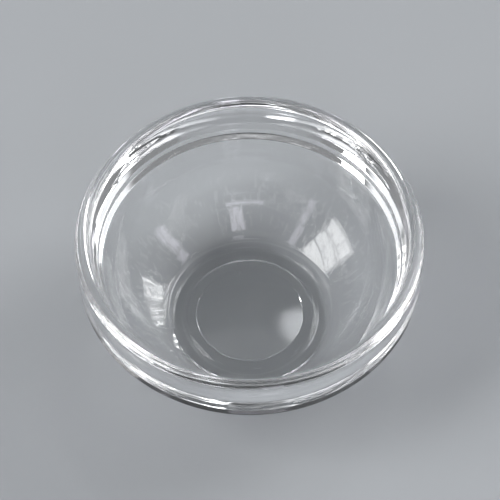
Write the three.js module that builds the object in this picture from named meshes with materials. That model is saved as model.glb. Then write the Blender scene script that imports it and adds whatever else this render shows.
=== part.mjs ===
// Clear pressed-glass sauce bowl that stacks: one solid of revolution about +Z, in millimetres.
// The origin is the centre of the plane that the bowl stands on.
import * as THREE from "three";

// Overall sizes
const RIM_DIAMETER = 90;
const HEIGHT = 42;

// Lip, rim band and the step under the band that rests on the next bowl's lip
const LIP_THICKNESS = 4;
const BAND_EDGE_RADIUS = 1;
const STEP_COVE_RADIUS = 0.8;
const STACKING_CLEARANCE = 0.6;

// Wall: a straight taper under the lip, then a round towards the floor
const WALL_THICKNESS = 2.4;
const WALL_LEAN_DEGREES = 14;
const WALL_ROUND_RADIUS = 37.5;

// Floor
const FLOOR_DIAMETER = 43;
const FLOOR_THICKNESS = 4;
const FLOOR_FILLET_RADIUS = 3.6;

// Foot: a flat standing ring, a heel that rises inside it to a level ledge, and a domed panel that
// hangs below the ledge by the step of the mould's ring mark
const FOOT_EDGE_RADIUS = 2;
const STANDING_RING_WIDTH = 1.35;
const HEEL_WIDTH = 2.1;
const HEEL_RISE = 0.44;
const LEDGE_WIDTH = 2.3;
const RING_MARK_WIDTH = 0.1;
const RING_MARK_STEP = 0.1;
const PANEL_DOME_RISE = 0.45;

// Fineness of the facets
const FACETS_AROUND = 80;
const CHORD_ERROR = 0.02;
const FEWEST_CHORDS = 2;
const SAME_POINT = 1e-6;

const LEAN = THREE.MathUtils.degToRad(WALL_LEAN_DEGREES);
const DOWN = -Math.PI / 2;
const UP = Math.PI / 2;

const point = (r, z) => new THREE.Vector2(r, z);
const bearing = (from, to) => Math.atan2(to.y - from.y, to.x - from.x);

// Points along an arc, as many as keep its chords within CHORD_ERROR of the curve.
function arc(centre, radius, start, end) {
  const widestStep = 2 * Math.acos(1 - CHORD_ERROR / radius);
  const steps = Math.max(FEWEST_CHORDS, Math.ceil(Math.abs(end - start) / widestStep));
  return Array.from({ length: steps + 1 }, (_, i) => {
    const angle = start + ((end - start) * i) / steps;
    return point(
      centre.x + radius * Math.cos(angle),
      centre.y + radius * Math.sin(angle),
    );
  });
}

// The first point on the line from start along way that is a given distance from a centre.
function firstAtDistance(start, way, centre, distance) {
  const gap = start.clone().sub(centre);
  const along = gap.dot(way);
  const chord = Math.sqrt(along ** 2 - gap.lengthSq() + distance ** 2);
  return start.clone().addScaledVector(way, -along - chord);
}

// Radius of an arc that leaves a level tangent and rises by rise over a width.
const arcRadiusOver = (width, rise) => (width ** 2 + rise ** 2) / (2 * rise);

function bowlProfile() {
  const rimRadius = RIM_DIAMETER / 2;
  const lipRadius = LIP_THICKNESS / 2;
  const lip = point(rimRadius - lipRadius, HEIGHT - lipRadius);

  // The inner wall leaves the round of the lip as a straight taper. Its round is tangent to the taper
  // and to the fillet of the floor.
  const outward = point(Math.cos(LEAN), -Math.sin(LEAN));
  const downWall = point(-Math.sin(LEAN), -Math.cos(LEAN));
  const fillet = point(FLOOR_DIAMETER / 2, FLOOR_THICKNESS + FLOOR_FILLET_RADIUS);
  const wallRound = firstAtDistance(
    lip.clone().addScaledVector(outward, -lipRadius - WALL_ROUND_RADIUS),
    downWall,
    fillet,
    WALL_ROUND_RADIUS - FLOOR_FILLET_RADIUS,
  );
  // An outline that stands off the inner wall: where its taper ends, and its radius at height z.
  const taperEnd = (off) =>
    wallRound.clone().addScaledVector(outward, WALL_ROUND_RADIUS + off);
  const outlineRadiusAt = (z, off) =>
    z > taperEnd(off).y
      ? taperEnd(off).x + (z - taperEnd(off).y) * Math.tan(LEAN)
      : wallRound.x + Math.sqrt((WALL_ROUND_RADIUS + off) ** 2 - (wallRound.y - z) ** 2);
  const outlineHeightAt = (r, off) =>
    r > taperEnd(off).x
      ? taperEnd(off).y + (r - taperEnd(off).x) / Math.tan(LEAN)
      : wallRound.y - Math.sqrt((WALL_ROUND_RADIUS + off) ** 2 - (r - wallRound.x) ** 2);

  // The body is the wall offset outwards. The step sits where the body has just become slim enough
  // to drop into the mouth of a like bowl.
  const mouthRadius = rimRadius - LIP_THICKNESS;
  const stepHeight = outlineHeightAt(mouthRadius - STACKING_CLEARANCE, WALL_THICKNESS);
  const coveHeight = stepHeight - STEP_COVE_RADIUS;
  const cove = point(
    outlineRadiusAt(coveHeight, WALL_THICKNESS + STEP_COVE_RADIUS),
    coveHeight,
  );
  const bandEdge = point(
    rimRadius - BAND_EDGE_RADIUS,
    stepHeight + BAND_EDGE_RADIUS,
  );

  // Foot, from the outer edge of the standing ring inwards
  const footEdge = point(
    outlineRadiusAt(FOOT_EDGE_RADIUS, WALL_THICKNESS - FOOT_EDGE_RADIUS),
    FOOT_EDGE_RADIUS,
  );
  const heelRadius = footEdge.x - STANDING_RING_WIDTH;
  const heelArcRadius = arcRadiusOver(HEEL_WIDTH, HEEL_RISE);
  const heel = point(heelRadius, heelArcRadius);
  const ledgeEdge = point(heelRadius - HEEL_WIDTH, HEEL_RISE);
  const ringMark = point(ledgeEdge.x - LEDGE_WIDTH, HEEL_RISE);
  const panelEdge = point(
    ringMark.x - RING_MARK_WIDTH,
    ringMark.y - RING_MARK_STEP,
  );
  const domeRadius = arcRadiusOver(panelEdge.x, PANEL_DOME_RISE);
  const dome = point(0, panelEdge.y + PANEL_DOME_RISE - domeRadius);

  const bodyRadius = WALL_ROUND_RADIUS + WALL_THICKNESS;
  const bodyTop = Math.min(-LEAN, bearing(wallRound, cove));
  const coveStart = Math.min(Math.PI - LEAN, bearing(cove, wallRound));
  return [
    ...arc(dome, domeRadius, UP, bearing(dome, panelEdge)),
    ringMark,
    ...arc(heel, heelArcRadius, bearing(heel, ledgeEdge), DOWN),
    ...arc(footEdge, FOOT_EDGE_RADIUS, DOWN, bearing(wallRound, footEdge)),
    ...arc(wallRound, bodyRadius, bearing(wallRound, footEdge), bodyTop),
    ...arc(cove, STEP_COVE_RADIUS, coveStart, UP),
    ...arc(bandEdge, BAND_EDGE_RADIUS, DOWN, 0),
    ...arc(lip, lipRadius, 0, UP),
    ...arc(lip, lipRadius, UP, Math.PI - LEAN),
    ...arc(wallRound, WALL_ROUND_RADIUS, -LEAN, bearing(wallRound, fillet)),
    ...arc(fillet, FLOOR_FILLET_RADIUS, bearing(wallRound, fillet), DOWN),
    point(0, FLOOR_THICKNESS),
  ].filter((p, i, all) => i === 0 || p.distanceTo(all[i - 1]) > SAME_POINT);
}

const glass = new THREE.MeshStandardMaterial({
  color: 0xe9f1f1,
  roughness: 0.03,
  metalness: 0,
  transparent: true,
  opacity: 0.35,
});

const bowl = new THREE.Mesh(
  new THREE.LatheGeometry(bowlProfile(), FACETS_AROUND).rotateX(Math.PI / 2),
  glass,
);
bowl.name = "bowl";

const sauceBowl = new THREE.Group();
sauceBowl.add(bowl);

export default sauceBowl;
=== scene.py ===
import math

import bpy
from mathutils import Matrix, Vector


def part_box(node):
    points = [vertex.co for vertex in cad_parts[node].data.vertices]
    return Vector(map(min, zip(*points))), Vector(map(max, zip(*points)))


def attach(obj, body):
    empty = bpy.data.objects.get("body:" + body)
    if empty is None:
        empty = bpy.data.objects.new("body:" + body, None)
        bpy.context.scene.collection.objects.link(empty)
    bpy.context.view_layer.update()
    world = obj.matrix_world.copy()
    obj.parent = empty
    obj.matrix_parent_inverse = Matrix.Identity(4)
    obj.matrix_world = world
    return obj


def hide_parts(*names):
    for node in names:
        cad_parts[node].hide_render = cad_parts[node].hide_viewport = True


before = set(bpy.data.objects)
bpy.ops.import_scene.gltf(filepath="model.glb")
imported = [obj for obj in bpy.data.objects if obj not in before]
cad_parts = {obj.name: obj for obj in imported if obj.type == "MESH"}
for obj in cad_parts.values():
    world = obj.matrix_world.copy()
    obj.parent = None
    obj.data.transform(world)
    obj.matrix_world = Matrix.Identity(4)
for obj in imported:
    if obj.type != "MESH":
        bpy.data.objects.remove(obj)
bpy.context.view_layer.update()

MM = 0.001

# Sizes of the bowl. The rim's width and the height come from the CAD node, and the rest is repeated
# from its source.
BOWL_LOW, BOWL_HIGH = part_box("bowl")
RIM_RADIUS = (BOWL_HIGH.x - BOWL_LOW.x) / 2
HEIGHT = BOWL_HIGH.z - BOWL_LOW.z
LIP_RADIUS = 2.0 * MM
BAND_EDGE_RADIUS = 1.0 * MM
STEP_COVE_RADIUS = 0.8 * MM
STACKING_CLEARANCE = 0.6 * MM
WALL_THICKNESS = 2.4 * MM
WALL_LEAN = math.radians(14)
WALL_ROUND_RADIUS = 37.5 * MM
FLOOR_RADIUS = 21.5 * MM
FLOOR_THICKNESS = 4.0 * MM
FLOOR_FILLET_RADIUS = 3.6 * MM
FOOT_EDGE_RADIUS = 2.0 * MM
STANDING_RING_WIDTH = 1.35 * MM
HEEL_WIDTH = 2.1 * MM
HEEL_RISE = 0.44 * MM
LEDGE_WIDTH = 2.3 * MM
RING_MARK_WIDTH = 0.1 * MM
RING_MARK_STEP = 0.1 * MM
PANEL_DOME_RISE = 0.45 * MM

# Fineness of the glass surface
STEPS_AROUND = 432
ARC_ERROR = 0.002 * MM
FEWEST_ARC_STEPS = 4
FLAT_EDGE_STRIP = 0.25 * MM
LONGEST_STRAIGHT_STEP = 1.2 * MM
MERGE_DISTANCE = 0.001 * MM
CRISP_EDGE_ANGLE = math.radians(15)

# Slow waves that pressing leaves in the wall; the lip, the band, the step and the foot stay true
WAVE_LENGTH = 9.0 * MM
WAVE_DEPTH = 0.03 * MM
WAVE_START_LOW = 1.5 * MM
WAVE_FULL_LOW = 5.0 * MM
OUTER_WAVE_FULL_HIGH = 22.0 * MM
OUTER_WAVE_END_HIGH = 26.0 * MM
INNER_WAVE_FULL_HIGH = 29.0 * MM
INNER_WAVE_END_HIGH = 36.0 * MM

UP = math.pi / 2
DOWN = -math.pi / 2


def bearing(a, b):
    return math.atan2(b[1] - a[1], b[0] - a[0])


def arc_radius_over(width, rise):
    """Radius of an arc that leaves a level tangent and rises by rise over a width."""
    return (width ** 2 + rise ** 2) / (2 * rise)


def first_at_distance(start, way, centre, distance):
    """The first point on the line from start along way that is a given distance from a centre."""
    gap = (start[0] - centre[0], start[1] - centre[1])
    along = gap[0] * way[0] + gap[1] * way[1]
    chord = math.sqrt(along ** 2 - gap[0] ** 2 - gap[1] ** 2 + distance ** 2)
    return (start[0] - way[0] * (along + chord), start[1] - way[1] * (along + chord))


def fade(value, none, full):
    """0 at none, 1 at full and beyond it, smooth between."""
    share = min(max((value - none) / (full - none), 0), 1)
    return share * share * (3 - 2 * share)


def deselect_everything():
    if bpy.context.mode != "OBJECT":
        bpy.ops.object.mode_set(mode="OBJECT")
    bpy.ops.object.select_all(action="DESELECT")


# Modelling the bowl's section line, one vertex drawn out into arcs and straights
def start_section(name, r, z):
    deselect_everything()
    bpy.ops.mesh.primitive_plane_add(size=LIP_RADIUS)
    piece = bpy.context.object
    piece.name = name
    piece.data.name = name
    bpy.ops.object.mode_set(mode="EDIT")
    bpy.ops.mesh.select_all(action="SELECT")
    bpy.ops.mesh.merge(type="CENTER")
    bpy.ops.transform.translate(value=(r, 0, z))
    return piece


def draw_arc(centre, radius, start, end):
    widest_step = 2 * math.acos(1 - ARC_ERROR / radius)
    steps = max(FEWEST_ARC_STEPS, math.ceil(abs(end - start) / widest_step))
    bpy.ops.mesh.spin(
        steps=steps,
        angle=end - start,
        center=(centre[0], 0, centre[1]),
        axis=(0, 1, 0),
    )


def draw_line(dr, dz):
    bpy.ops.mesh.extrude_region_move(TRANSFORM_OT_translate={"value": (dr, 0, dz)})


def draw_straight(start, end):
    """A straight with a narrow strip at each end, so that the flat stays flat beside the rounds."""
    dr, dz = end[0] - start[0], end[1] - start[1]
    strip = FLAT_EDGE_STRIP / math.hypot(dr, dz)
    middle_steps = math.ceil(math.hypot(dr, dz) / LONGEST_STRAIGHT_STEP)
    for share in [strip] + [(1 - 2 * strip) / middle_steps] * middle_steps + [strip]:
        draw_line(dr * share, dz * share)


def make_bowl():
    lip = (RIM_RADIUS - LIP_RADIUS, HEIGHT - LIP_RADIUS)
    outward = (math.cos(WALL_LEAN), -math.sin(WALL_LEAN))
    down_wall = (-math.sin(WALL_LEAN), -math.cos(WALL_LEAN))
    fillet = (FLOOR_RADIUS, FLOOR_THICKNESS + FLOOR_FILLET_RADIUS)

    def off(place, distance):
        return (place[0] + outward[0] * distance, place[1] + outward[1] * distance)

    wall_round = first_at_distance(
        off(lip, -LIP_RADIUS - WALL_ROUND_RADIUS),
        down_wall,
        fillet,
        WALL_ROUND_RADIUS - FLOOR_FILLET_RADIUS,
    )
    body_round = WALL_ROUND_RADIUS + WALL_THICKNESS
    body_taper_end = off(wall_round, body_round)
    body_top = RIM_RADIUS - 2 * LIP_RADIUS - STACKING_CLEARANCE
    step_height = body_taper_end[1] + (body_top - body_taper_end[0]) / math.tan(WALL_LEAN)
    cove_height = step_height - STEP_COVE_RADIUS
    cove_rail = off(body_taper_end, STEP_COVE_RADIUS)
    cove = (cove_rail[0] + (cove_height - cove_rail[1]) * math.tan(WALL_LEAN), cove_height)
    band_edge = (RIM_RADIUS - BAND_EDGE_RADIUS, step_height + BAND_EDGE_RADIUS)

    foot_reach = body_round - FOOT_EDGE_RADIUS
    foot_edge = (
        wall_round[0] + math.sqrt(foot_reach ** 2 - (wall_round[1] - FOOT_EDGE_RADIUS) ** 2),
        FOOT_EDGE_RADIUS,
    )
    heel_arc = arc_radius_over(HEEL_WIDTH, HEEL_RISE)
    heel = (foot_edge[0] - STANDING_RING_WIDTH, heel_arc)
    ledge_edge = (heel[0] - HEEL_WIDTH, HEEL_RISE)
    ring_mark = (ledge_edge[0] - LEDGE_WIDTH, HEEL_RISE)
    panel_edge = (ring_mark[0] - RING_MARK_WIDTH, ring_mark[1] - RING_MARK_STEP)
    dome_arc = arc_radius_over(panel_edge[0], PANEL_DOME_RISE)
    dome = (0, panel_edge[1] + PANEL_DOME_RISE - dome_arc)

    piece = start_section("glass_bowl", 0, dome[1] + dome_arc)
    draw_arc(dome, dome_arc, UP, bearing(dome, panel_edge))
    draw_line(RING_MARK_WIDTH, RING_MARK_STEP)
    draw_straight(ring_mark, ledge_edge)
    draw_arc(heel, heel_arc, bearing(heel, ledge_edge), DOWN)
    draw_straight((heel[0], 0), (foot_edge[0], 0))
    draw_arc(foot_edge, FOOT_EDGE_RADIUS, DOWN, bearing(wall_round, foot_edge))
    draw_arc(wall_round, body_round, bearing(wall_round, foot_edge), -WALL_LEAN)
    draw_straight(body_taper_end, off(cove, -STEP_COVE_RADIUS))
    draw_arc(cove, STEP_COVE_RADIUS, math.pi - WALL_LEAN, UP)
    draw_straight((cove[0], step_height), (band_edge[0], step_height))
    draw_arc(band_edge, BAND_EDGE_RADIUS, DOWN, 0)
    draw_straight((RIM_RADIUS, band_edge[1]), (RIM_RADIUS, lip[1]))
    draw_arc(lip, LIP_RADIUS, 0, math.pi - WALL_LEAN)
    draw_straight(off(lip, -LIP_RADIUS), off(wall_round, WALL_ROUND_RADIUS))
    draw_arc(wall_round, WALL_ROUND_RADIUS, -WALL_LEAN, bearing(wall_round, fillet))
    draw_arc(fillet, FLOOR_FILLET_RADIUS, bearing(wall_round, fillet), DOWN)
    draw_straight((FLOOR_RADIUS, FLOOR_THICKNESS), (0, FLOOR_THICKNESS))

    bpy.ops.mesh.select_all(action="SELECT")
    bpy.ops.mesh.spin(steps=STEPS_AROUND, angle=2 * math.pi, center=(0, 0, 0), axis=(0, 0, 1))
    bpy.ops.mesh.select_all(action="SELECT")
    bpy.ops.mesh.remove_doubles(threshold=MERGE_DISTANCE)
    bpy.ops.mesh.normals_make_consistent(inside=False)
    bpy.ops.object.mode_set(mode="OBJECT")
    bpy.ops.object.shade_smooth_by_angle(angle=CRISP_EDGE_ANGLE)
    return piece


def wave_share(vertex):
    place, normal = vertex.co, vertex.normal
    if normal.x * place.x + normal.y * place.y > 0:
        top = fade(place.z, OUTER_WAVE_END_HIGH, OUTER_WAVE_FULL_HIGH)
    else:
        top = fade(place.z, INNER_WAVE_END_HIGH, INNER_WAVE_FULL_HIGH)
    return top * fade(place.z, WAVE_START_LOW, WAVE_FULL_LOW)


def press_waves(piece):
    wavy = piece.vertex_groups.new(name="wavy_wall")
    for vertex in piece.data.vertices:
        wavy.add([vertex.index], wave_share(vertex), "REPLACE")
    clouds = bpy.data.textures.new("pressing_waves", "CLOUDS")
    clouds.noise_scale = WAVE_LENGTH
    waves = piece.modifiers.new("pressing_waves", "DISPLACE")
    waves.texture = clouds
    waves.texture_coords = "LOCAL"
    waves.strength = WAVE_DEPTH
    waves.vertex_group = wavy.name
    deselect_everything()
    piece.select_set(True)
    bpy.context.view_layer.objects.active = piece
    bpy.ops.object.modifier_apply(modifier=waves.name)


bowl = make_bowl()
press_waves(bowl)
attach(bowl, "root")
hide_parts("bowl")


# Clear glass with a faint tint and haze, and with streaks and flecks from the press on the wall
GLASS_IOR = 1.52
PALEST_GLASS = (0.998, 0.999, 0.999, 1)
DEEPEST_GLASS = (0.984, 0.993, 0.994, 1)
TINT_SCALE = 60
TINT_DETAIL = 2.0
HAZE_SCALE = 160
HAZE_DETAIL = 3.0
HAZE_START = 0.45
HAZE_FULL = 0.75
DULLEST_ROUGHNESS = 0.012
STREAKS_AROUND = 34
STREAK_CHANGE_DOWN_WALL = 60
STREAK_DETAIL = 2.0
STREAK_SHARE = 0.4
FLECKS_AROUND = 30
FLECK_CHANGE_DOWN_WALL = 420
FLECK_DETAIL = 1.0
FLECK_START = 0.57
FLECK_FULL = 0.64
FLECK_ROUGHNESS = 0.22
FLECK_DEPTH = 0.018 * MM
TEXTURE_START_RADIUS = 21.0 * MM
TEXTURE_FULL_RADIUS = 27.0 * MM
TEXTURE_FULL_HEIGHT = 15.0 * MM
TEXTURE_END_HEIGHT = 24.0 * MM


def node(tree, kind, **settings):
    made = tree.nodes.new(kind)
    for name, value in settings.items():
        setattr(made, name, value)
    return made


def math_node(tree, operation, first, second=None):
    made = node(tree, "ShaderNodeMath", operation=operation)
    for socket, value in zip(made.inputs, (first, second)):
        if isinstance(value, bpy.types.NodeSocket):
            tree.links.new(value, socket)
        elif value is not None:
            socket.default_value = value
    return made.outputs[0]


def smooth_range(tree, value, from_low, from_high, to_low=0.0, to_high=1.0):
    made = node(tree, "ShaderNodeMapRange", interpolation_type="SMOOTHSTEP")
    tree.links.new(value, made.inputs["Value"])
    made.inputs["From Min"].default_value = from_low
    made.inputs["From Max"].default_value = from_high
    made.inputs["To Min"].default_value = to_low
    made.inputs["To Max"].default_value = to_high
    return made.outputs["Result"]


def noise(tree, vector, scale, detail):
    made = node(tree, "ShaderNodeTexNoise")
    tree.links.new(vector, made.inputs["Vector"])
    made.inputs["Scale"].default_value = scale
    made.inputs["Detail"].default_value = detail
    return made.outputs["Fac"]


def make_glass():
    material = bpy.data.materials.new("clear_pressed_glass")
    material.use_nodes = True
    tree = material.node_tree
    shader = tree.nodes["Principled BSDF"]
    shader.inputs["IOR"].default_value = GLASS_IOR
    shader.inputs["Transmission Weight"].default_value = 1.0
    place = node(tree, "ShaderNodeTexCoord").outputs["Object"]
    parts = node(tree, "ShaderNodeSeparateXYZ")
    tree.links.new(place, parts.inputs["Vector"])
    x, y, z = parts.outputs

    tint = node(tree, "ShaderNodeMix", data_type="RGBA")
    tree.links.new(noise(tree, place, TINT_SCALE, TINT_DETAIL), tint.inputs["Factor"])
    tint.inputs["A"].default_value = PALEST_GLASS
    tint.inputs["B"].default_value = DEEPEST_GLASS
    tree.links.new(tint.outputs["Result"], shader.inputs["Base Color"])
    clouding = noise(tree, place, HAZE_SCALE, HAZE_DETAIL)
    haze = smooth_range(tree, clouding, HAZE_START, HAZE_FULL, 0.0, DULLEST_ROUGHNESS)

    flat = node(tree, "ShaderNodeCombineXYZ")
    tree.links.new(x, flat.inputs["X"])
    tree.links.new(y, flat.inputs["Y"])
    way_out = node(tree, "ShaderNodeVectorMath", operation="NORMALIZE")
    tree.links.new(flat.outputs["Vector"], way_out.inputs[0])
    radius = node(tree, "ShaderNodeVectorMath", operation="LENGTH")
    tree.links.new(flat.outputs["Vector"], radius.inputs[0])

    def wall_noise(cells_around, change_down_wall, detail):
        """Noise that follows the wall: so many cells across a radius around it, and so many in a
        metre of height."""
        drop = math_node(tree, "MULTIPLY", z, change_down_wall / cells_around)
        down_wall = node(tree, "ShaderNodeCombineXYZ")
        tree.links.new(drop, down_wall.inputs["Z"])
        along_wall = node(tree, "ShaderNodeVectorMath", operation="ADD")
        tree.links.new(way_out.outputs["Vector"], along_wall.inputs[0])
        tree.links.new(down_wall.outputs["Vector"], along_wall.inputs[1])
        return noise(tree, along_wall.outputs["Vector"], cells_around, detail)

    streak_noise = wall_noise(STREAKS_AROUND, STREAK_CHANGE_DOWN_WALL, STREAK_DETAIL)
    streaks = math_node(tree, "MULTIPLY", streak_noise, STREAK_SHARE)
    fleck_noise = wall_noise(FLECKS_AROUND, FLECK_CHANGE_DOWN_WALL, FLECK_DETAIL)
    flecks = smooth_range(tree, fleck_noise, FLECK_START, FLECK_FULL)
    on_wall = math_node(
        tree,
        "MULTIPLY",
        smooth_range(tree, radius.outputs["Value"], TEXTURE_START_RADIUS, TEXTURE_FULL_RADIUS),
        smooth_range(tree, z, TEXTURE_END_HEIGHT, TEXTURE_FULL_HEIGHT),
    )
    # Light that runs down inside the wall meets it many times, and the flecks would only scatter
    # it into grain
    inside_glass = node(tree, "ShaderNodeNewGeometry").outputs["Backfacing"]
    in_air = math_node(tree, "SUBTRACT", 1.0, inside_glass)
    texture_shows = math_node(tree, "MULTIPLY", on_wall, in_air)
    flecks_shown = math_node(tree, "MULTIPLY", flecks, texture_shows)
    fleck_roughness = math_node(tree, "MULTIPLY", flecks_shown, FLECK_ROUGHNESS)
    tree.links.new(math_node(tree, "ADD", haze, fleck_roughness), shader.inputs["Roughness"])
    relief = math_node(tree, "ADD", streaks, flecks)
    bump = node(tree, "ShaderNodeBump")
    bump.inputs["Distance"].default_value = FLECK_DEPTH
    tree.links.new(math_node(tree, "MULTIPLY", relief, texture_shows), bump.inputs["Height"])
    tree.links.new(bump.outputs["Normal"], shader.inputs["Normal"])
    return material


bowl.data.materials.append(make_glass())

# Plain pale floor, a hair below the foot so that no dark line shows where glass and floor would
# share a face
FLOOR_SIZE = 40.0
FLOOR_DROP = 0.15 * MM
FLOOR_COLOUR = (0.37, 0.385, 0.4, 1)
FLOOR_ROUGHNESS = 0.8
FLOOR_GLOSS = 0.1
deselect_everything()
bpy.ops.mesh.primitive_plane_add(size=FLOOR_SIZE, location=(0, 0, -FLOOR_DROP))
floor = bpy.context.object
floor.name = "studio_floor"
floor_paint = bpy.data.materials.new("pale_floor")
floor_paint.use_nodes = True
floor_shader = floor_paint.node_tree.nodes["Principled BSDF"]
floor_shader.inputs["Base Color"].default_value = FLOOR_COLOUR
floor_shader.inputs["Roughness"].default_value = FLOOR_ROUGHNESS
floor_shader.inputs["Specular IOR Level"].default_value = FLOOR_GLOSS
floor.data.materials.append(floor_paint)

# Soft lamps. All angles are in degrees: azimuth from the back towards the right, and a lamp's width
# and height as the angles that it fills, seen from the bowl.
LAMP_DISTANCE = 8.0
WHITE = (1, 1, 1)
COOL_WHITE = (0.93, 0.9, 1)


def sky_way(azimuth, elevation):
    level = math.cos(elevation)
    return Vector((math.sin(azimuth) * level, math.cos(azimuth) * level, math.sin(elevation)))


def soft_lamp(name, azimuth, elevation, wide, high, radiance, colour=WHITE):
    place = sky_way(math.radians(azimuth), math.radians(elevation)) * LAMP_DISTANCE
    bpy.ops.object.light_add(type="AREA", location=place)
    lamp = bpy.context.object
    lamp.name = name
    lamp.rotation_euler = (-place).to_track_quat("-Z", "Y").to_euler()
    lamp.visible_camera = False
    lamp.data.shape = "RECTANGLE"
    lamp.data.size = 2 * LAMP_DISTANCE * math.tan(math.radians(wide) / 2)
    lamp.data.size_y = 2 * LAMP_DISTANCE * math.tan(math.radians(high) / 2)
    lamp.data.energy = radiance * math.pi * lamp.data.size * lamp.data.size_y
    lamp.data.color = colour


def strip_lamps(name, azimuth, elevation, wide, high, radiance, strips, lit_share):
    """A bank of upright strips with dark gaps between them."""
    pitch = wide / strips
    for i in range(strips):
        strip_azimuth = azimuth - wide / 2 + pitch * (i + 0.5)
        soft_lamp(
            f"{name}_{i + 1}", strip_azimuth, elevation, pitch * lit_share, high, radiance
        )


deselect_everything()
soft_lamp("left_softbox", azimuth=-102, elevation=27, wide=28, high=50, radiance=5.5)
soft_lamp("left_upper_softbox", azimuth=-99, elevation=56, wide=12, high=8, radiance=10.0)
soft_lamp("right_softbox", azimuth=60, elevation=26, wide=30, high=48, radiance=1.7)
strip_lamps(
    "right_strip_light",
    azimuth=60, elevation=26, wide=30, high=48, radiance=8.0, strips=7, lit_share=0.4,
)
soft_lamp(
    "front_softbox",
    azimuth=168, elevation=30, wide=10, high=28, radiance=2.6, colour=COOL_WHITE,
)
soft_lamp(
    "front_low_softbox",
    azimuth=176, elevation=14, wide=30, high=5, radiance=2.6, colour=COOL_WHITE,
)
soft_lamp(
    "right_side_softbox",
    azimuth=106, elevation=20, wide=8, high=36, radiance=2.4, colour=COOL_WHITE,
)
soft_lamp(
    "front_left_softbox",
    azimuth=-133, elevation=26, wide=6, high=48, radiance=1.8, colour=COOL_WHITE,
)

# Soft light from all round, dimmer at the horizon, over a pale backdrop
AIR_COLOUR = (0.98, 1.0, 1.03, 1)
HORIZON_LIGHT = 0.22
UPPER_LIGHT = 0.27
HORIZON_TOP = math.radians(10)
UPPER_START = math.radians(35)
BACKDROP_LIGHT = 0.42
BACKDROP_FULL = math.radians(3)
BACKDROP_TOP = math.radians(7)

# Dark flags in front and behind, and lights high behind and to both sides, which draw the lines of
# the rim. Edges are in degrees: side edges from the front, lower and upper edges as elevations.
FLAG_LIGHT_LEFT = 0.12
FRONT_FLAG = dict(
    side_full=22, side_none=45, low_none=8, low_full=16, high_full=40, high_none=48
)
FRONT_HIGH_FLAG = dict(
    side_full=22, side_none=45, low_none=60, low_full=66, high_full=80, high_none=88
)
BACK_FLAG = dict(
    side_full=168, side_none=150, low_none=10, low_full=18, high_full=50, high_none=62
)
HIGH_BACK_LIGHT = 0.8
HIGH_BACK_EDGES = dict(
    side_full=130, side_none=100, low_none=62, low_full=66, high_full=72, high_none=77
)
HIGH_SIDE_LIGHT = 0.9
HIGH_SIDE_EDGES = dict(
    side_full=105, side_none=92, low_none=49, low_full=54, high_full=64, high_none=72
)
HIGH_SIDE_BACK_FULL = math.radians(146)
HIGH_SIDE_BACK_NONE = math.radians(160)

# A round glow that shows inside the ring of the base
GLOW_AZIMUTH = math.radians(24)
GLOW_ELEVATION = math.radians(60.5)
GLOW_LIGHT = 8.0
GLOW_SHARPNESS = 2.0
GLOW_FULL = math.radians(0.2)
GLOW_END = math.radians(7.5)


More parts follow.
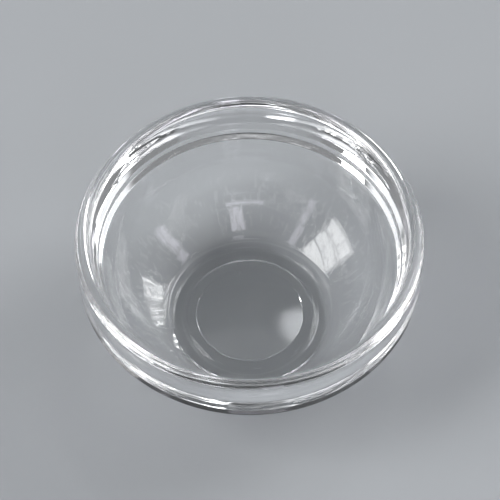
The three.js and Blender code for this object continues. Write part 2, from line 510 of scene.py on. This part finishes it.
def make_air():
    world = bpy.data.worlds.new("studio_air")
    bpy.context.scene.world = world
    world.use_nodes = True
    tree = world.node_tree
    background = tree.nodes["Background"]
    background.inputs["Color"].default_value = AIR_COLOUR
    direction = node(tree, "ShaderNodeTexCoord").outputs["Generated"]
    parts = node(tree, "ShaderNodeSeparateXYZ")
    tree.links.new(direction, parts.inputs["Vector"])
    x, y, z = parts.outputs
    towards_front = math_node(tree, "MULTIPLY", y, -1.0)
    from_front = math_node(tree, "ABSOLUTE", math_node(tree, "ARCTAN2", x, towards_front))

    def by_elevation(start, end, from_value=0.0, to_value=1.0):
        """A value that changes smoothly between two elevations."""
        return smooth_range(tree, z, math.sin(start), math.sin(end), from_value, to_value)

    def patch(side_full, side_none, low_none, low_full, high_full, high_none):
        """Mask of a flag or a light, 1 inside its full edges and 0 outside its none edges."""
        sides = smooth_range(tree, from_front, math.radians(side_none), math.radians(side_full))
        lower = by_elevation(math.radians(low_none), math.radians(low_full))
        upper = by_elevation(math.radians(high_none), math.radians(high_full))
        return math_node(tree, "MULTIPLY", sides, math_node(tree, "MULTIPLY", lower, upper))

    air = by_elevation(HORIZON_TOP, UPPER_START, HORIZON_LIGHT, UPPER_LIGHT)
    front_flags = math_node(tree, "MAXIMUM", patch(**FRONT_FLAG), patch(**FRONT_HIGH_FLAG))
    flags = math_node(tree, "MAXIMUM", front_flags, patch(**BACK_FLAG))
    unflagged = smooth_range(tree, flags, 0.0, 1.0, 1.0, FLAG_LIGHT_LEFT)
    flagged_air = math_node(tree, "MULTIPLY", air, unflagged)

    high_back = math_node(tree, "MULTIPLY", patch(**HIGH_BACK_EDGES), HIGH_BACK_LIGHT)
    off_back = smooth_range(tree, from_front, HIGH_SIDE_BACK_NONE, HIGH_SIDE_BACK_FULL)
    side_patch = math_node(tree, "MULTIPLY", patch(**HIGH_SIDE_EDGES), off_back)
    high_sides = math_node(tree, "MULTIPLY", side_patch, HIGH_SIDE_LIGHT)
    high_light = math_node(tree, "ADD", high_back, high_sides)

    to_glow = node(tree, "ShaderNodeVectorMath", operation="DOT_PRODUCT")
    tree.links.new(direction, to_glow.inputs[0])
    to_glow.inputs[1].default_value = sky_way(GLOW_AZIMUTH, GLOW_ELEVATION)
    nearness = smooth_range(
        tree, to_glow.outputs["Value"], math.cos(GLOW_END), math.cos(GLOW_FULL)
    )
    glow_shape = math_node(tree, "POWER", nearness, GLOW_SHARPNESS)
    glow = math_node(tree, "MULTIPLY", glow_shape, GLOW_LIGHT)

    light = math_node(tree, "ADD", math_node(tree, "ADD", flagged_air, high_light), glow)
    backdrop = by_elevation(BACKDROP_TOP, BACKDROP_FULL, 0.0, BACKDROP_LIGHT)
    strength = math_node(tree, "MAXIMUM", light, backdrop)
    tree.links.new(strength, background.inputs["Strength"])


make_air()

# Camera at the photograph's angle, in a frame of 500 by 500
FRAME_PX = 500
RIM_CENTRE_PX = (249.73, 245.68)
RIM_HALF_WIDTH_PX = 174.88
CAMERA_ELEVATION = math.radians(57.8)
CAMERA_RIM_RADII = 12.0
SENSOR_MM = 36.0
NEAREST_SEEN = 1.0 * MM
level = math.cos(CAMERA_ELEVATION)
rise = math.sin(CAMERA_ELEVATION)
focal_px = RIM_HALF_WIDTH_PX * math.sqrt(CAMERA_RIM_RADII ** 2 - level ** 2)
rim_back_px = focal_px * rise / (CAMERA_RIM_RADII + level)
rim_front_px = focal_px * rise / (CAMERA_RIM_RADII - level)
aim_px = RIM_CENTRE_PX[1] - (rim_front_px - rim_back_px) / 2
aim = Vector((0, 0, HEIGHT - LIP_RADIUS))
reach = CAMERA_RIM_RADII * RIM_RADIUS
camera_place = aim + Vector((0, -level, rise)) * reach
camera_turn = (aim - camera_place).to_track_quat("-Z", "Y").to_euler()
bpy.ops.object.camera_add(location=camera_place, rotation=camera_turn)
camera = bpy.context.object
camera.data.sensor_width = SENSOR_MM
camera.data.lens = focal_px / FRAME_PX * SENSOR_MM
camera.data.shift_x = (FRAME_PX / 2 - RIM_CENTRE_PX[0]) / FRAME_PX
camera.data.shift_y = (aim_px - FRAME_PX / 2) / FRAME_PX
camera.data.clip_start = NEAREST_SEEN
bpy.context.scene.camera = camera
bpy.context.scene.view_settings.view_transform = "Standard"

# Light passes many faces of glass in the rim before it leaves
GLASS_BOUNCES = 64
bpy.context.scene.cycles.max_bounces = GLASS_BOUNCES
bpy.context.scene.cycles.transmission_bounces = GLASS_BOUNCES
bpy.context.scene.cycles.glossy_bounces = GLASS_BOUNCES
